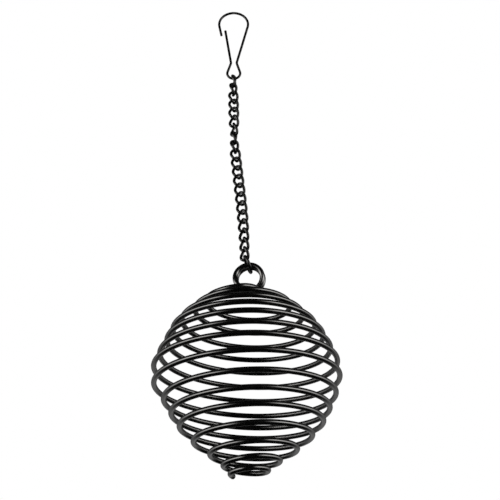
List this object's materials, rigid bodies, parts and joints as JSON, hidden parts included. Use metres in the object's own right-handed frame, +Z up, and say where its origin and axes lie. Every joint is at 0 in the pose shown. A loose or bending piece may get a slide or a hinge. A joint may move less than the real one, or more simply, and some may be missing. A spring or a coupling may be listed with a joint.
{
  "type": "hanging hay ball",
  "caption": "Hanging hay and treat ball: a springy black wire spiral with a top eye, hung from a twisted link chain with a wire snap hook.",
  "frame": {"origin": "the inside of the hook's top bend, where it bears on its rail", "axes": "+Z up, along the plumb line from the hook to the ball; -Y towards the viewer of the picture; +X to the viewer's right"},
  "size_m": [0.1002, 0.1003, 0.2978],
  "materials": {
    "hook_wire": "satin",
    "chain_wire": "satin",
    "ball_wire": "satin"
  },
  "bodies": {
    "hook": {"hook_frame": "hook_wire"},
    "gate": {"hook_gate": "hook_wire"},
    "link_01": {"chain_link_01": "chain_wire"},
    "link_02": {"chain_link_02": "chain_wire"},
    "link_03": {"chain_link_03": "chain_wire"},
    "link_04": {"chain_link_04": "chain_wire"},
    "link_05": {"chain_link_05": "chain_wire"},
    "link_06": {"chain_link_06": "chain_wire"},
    "link_07": {"chain_link_07": "chain_wire"},
    "link_08": {"chain_link_08": "chain_wire"},
    "link_09": {"chain_link_09": "chain_wire"},
    "link_10": {"chain_link_10": "chain_wire"},
    "link_11": {"chain_link_11": "chain_wire"},
    "link_12": {"chain_link_12": "chain_wire"},
    "link_13": {"chain_link_13": "chain_wire"},
    "link_14": {"chain_link_14": "chain_wire"},
    "link_15": {"chain_link_15": "chain_wire"},
    "link_16": {"chain_link_16": "chain_wire"},
    "link_17": {"chain_link_17": "chain_wire"},
    "link_18": {"chain_link_18": "chain_wire"},
    "link_19": {"chain_link_19": "chain_wire"},
    "link_20": {"chain_link_20": "chain_wire"},
    "link_21": {"chain_link_21": "chain_wire"},
    "ring": {"end_ring": "chain_wire"},
    "ball": {"ball_coil": "ball_wire"},
    "tail": {"coil_tail": "ball_wire"}
  },
  "joints": [
    {"name": "gate_flex", "type": "hinge", "parent": "hook", "child": "gate", "pos_m": [-0.00294, 0, -0.03863], "axis": [0, 1, 0], "range_deg": [0, 14], "stiffness_Nm_per_rad": 0.8},
    {"name": "link_01_swing", "type": "hinge", "parent": "hook", "child": "link_01", "pos_m": [-0.00143, 0, -0.05119], "axis": [1, 0, 0], "range_deg": [-20, 20]},
    {"name": "link_02_swing", "type": "hinge", "parent": "link_01", "child": "link_02", "pos_m": [-0.00198, 0, -0.05727], "axis": [-0.7529, 0.6561, 0.0526], "range_deg": [-20, 20]},
    {"name": "link_03_swing", "type": "hinge", "parent": "link_02", "child": "link_03", "pos_m": [-0.00214, 0, -0.06127], "axis": [0.9335, -0.3584, -0.0114], "range_deg": [-20, 20]},
    {"name": "link_04_swing", "type": "hinge", "parent": "link_03", "child": "link_04", "pos_m": [-0.00224, 0, -0.06917], "axis": [-0.3255, -0.9455, 0.004], "range_deg": [-20, 20]},
    {"name": "link_05_swing", "type": "hinge", "parent": "link_04", "child": "link_05", "pos_m": [-0.00229, 0, -0.07316], "axis": [-0.788, 0.6157, 0.0096], "range_deg": [-20, 20]},
    {"name": "link_06_swing", "type": "hinge", "parent": "link_05", "child": "link_06", "pos_m": [-0.00238, 0, -0.08106], "axis": [-0.5877, -0.809, 0.0072], "range_deg": [-20, 20]},
    {"name": "link_07_swing", "type": "hinge", "parent": "link_06", "child": "link_07", "pos_m": [-0.00243, 0, -0.08506], "axis": [0.289, 0.9573, -0.0035], "range_deg": [-20, 20]},
    {"name": "link_08_swing", "type": "hinge", "parent": "link_07", "child": "link_08", "pos_m": [-0.00253, 0, -0.09296], "axis": [0.9668, -0.2554, -0.0118], "range_deg": [-20, 20]},
    {"name": "link_09_swing", "type": "hinge", "parent": "link_08", "child": "link_09", "pos_m": [-0.00262, 0, -0.09696], "axis": [-0.9966, -0.0767, -0.0287], "range_deg": [-20, 20]},
    {"name": "link_10_swing", "type": "hinge", "parent": "link_09", "child": "link_10", "pos_m": [-0.00239, 0, -0.10486], "axis": [-0.1114, 0.9938, -0.0032], "range_deg": [-20, 20]},
    {"name": "link_11_swing", "type": "hinge", "parent": "link_10", "child": "link_11", "pos_m": [-0.00207, 0, -0.10885], "axis": [0.8214, -0.5674, 0.0574], "range_deg": [-20, 20]},
    {"name": "link_12_swing", "type": "hinge", "parent": "link_11", "child": "link_12", "pos_m": [-0.00152, 0, -0.11673], "axis": [-0.537, -0.8427, -0.0376], "range_deg": [-20, 20]},
    {"name": "link_13_swing", "type": "hinge", "parent": "link_12", "child": "link_13", "pos_m": [-0.00124, 0, -0.12072], "axis": [-0.721, 0.6911, -0.0504], "range_deg": [-20, 20]},
    {"name": "link_14_swing", "type": "hinge", "parent": "link_13", "child": "link_14", "pos_m": [-0.00069, 0, -0.1286], "axis": [0.6638, 0.7465, 0.0464], "range_deg": [-20, 20]},
    {"name": "link_15_swing", "type": "hinge", "parent": "link_14", "child": "link_15", "pos_m": [-0.00041, 0, -0.13259], "axis": [0.6023, -0.7971, 0.0421], "range_deg": [-20, 20]},
    {"name": "link_16_swing", "type": "hinge", "parent": "link_15", "child": "link_16", "pos_m": [0.00014, 0, -0.14047], "axis": [-0.7737, -0.6313, -0.0541], "range_deg": [-20, 20]},
    {"name": "link_17_swing", "type": "hinge", "parent": "link_16", "child": "link_17", "pos_m": [0.00036, 0, -0.14447], "axis": [-0.4691, 0.8829, -0.0191], "range_deg": [-20, 20]},
    {"name": "link_18_swing", "type": "hinge", "parent": "link_17", "child": "link_18", "pos_m": [0.00068, 0, -0.15236], "axis": [0.8653, 0.5, 0.0353], "range_deg": [-20, 20]},
    {"name": "link_19_swing", "type": "hinge", "parent": "link_18", "child": "link_19", "pos_m": [0.00079, 0, -0.15636], "axis": [0.1622, -0.9868, 0.0019], "range_deg": [-20, 20]},
    {"name": "link_20_swing", "type": "hinge", "parent": "link_19", "child": "link_20", "pos_m": [0.00088, 0, -0.16426], "axis": [-0.9804, -0.1965, -0.0114], "range_deg": [-20, 20]},
    {"name": "link_21_swing", "type": "hinge", "parent": "link_20", "child": "link_21", "pos_m": [0.00087, 0, -0.16826], "axis": [0.0871, 0.9962, -0.0015], "range_deg": [-20, 20]},
    {"name": "ring_swing", "type": "hinge", "parent": "link_21", "child": "ring", "pos_m": [0.00076, 0, -0.17421], "axis": [0, -1, 0], "range_deg": [-30, 30]},
    {"name": "ball_swing", "type": "hinge", "parent": "ring", "child": "ball", "pos_m": [0.00242, 0, -0.17876], "axis": [0.9397, 0, 0.342], "range_deg": [-45, 45]},
    {"name": "coil_stretch", "type": "slide", "parent": "ball", "child": "tail", "axis": [0, 0, -1], "range_m": [0, 0.05], "stiffness_N_per_m": 80, "deforming": ["ball_coil"]}
  ]
}
